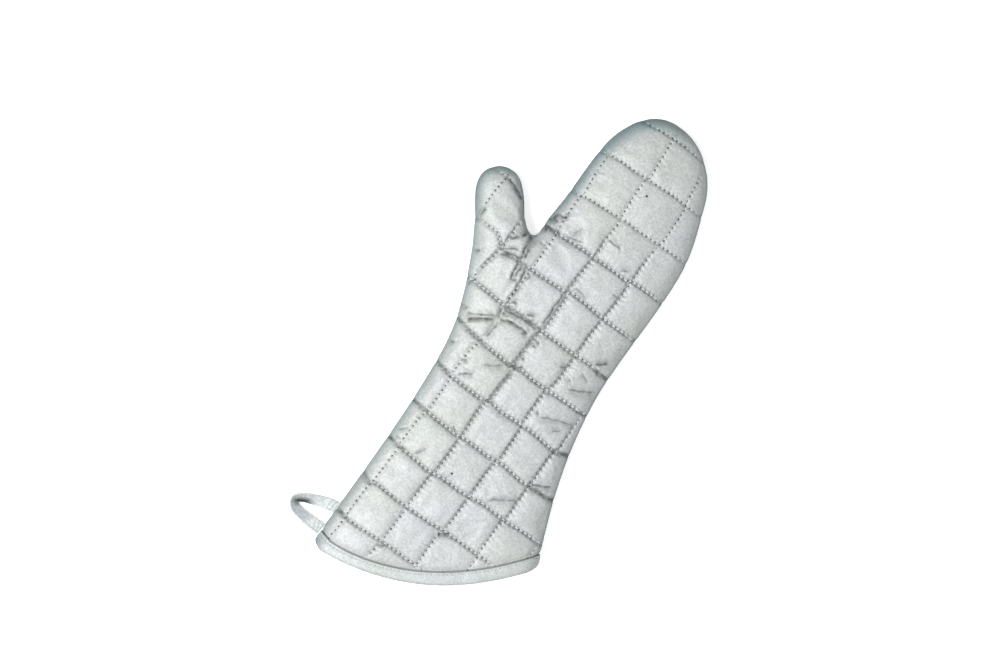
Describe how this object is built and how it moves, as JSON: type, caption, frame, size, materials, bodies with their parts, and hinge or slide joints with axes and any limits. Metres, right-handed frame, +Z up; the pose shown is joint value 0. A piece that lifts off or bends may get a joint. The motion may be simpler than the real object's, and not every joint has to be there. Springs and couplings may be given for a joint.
{
  "type": "heat resistant mitten",
  "caption": "Long quilted heat resistant mitten with a thumb, a flared sleeve with a slanting taped cuff, and a hanging loop in the seam beside the cuff.",
  "frame": {"origin": "on the table under the middle of the mitten's bounding box, with the mitten lying on its back panel", "axes": "+Y runs along the sleeve from the cuff to the fingertips, +X to the side away from the thumb, +Z up out of the front panel"},
  "size_m": [0.2021, 0.4333, 0.0323],
  "materials": {
    "silver_cloth": "silver coated cotton drill, quilted over wadding, soft satin",
    "cuff_tape": "folded bias tape of the same coated cloth, matt satin",
    "loop_tape": "folded tape of the same coated cloth, matt satin"
  },
  "bodies": {
    "root": {"front_panel": "silver_cloth", "back_panel": "silver_cloth", "cuff_binding": "cuff_tape", "hanging_loop": "loop_tape"}
  },
  "joints": []
}
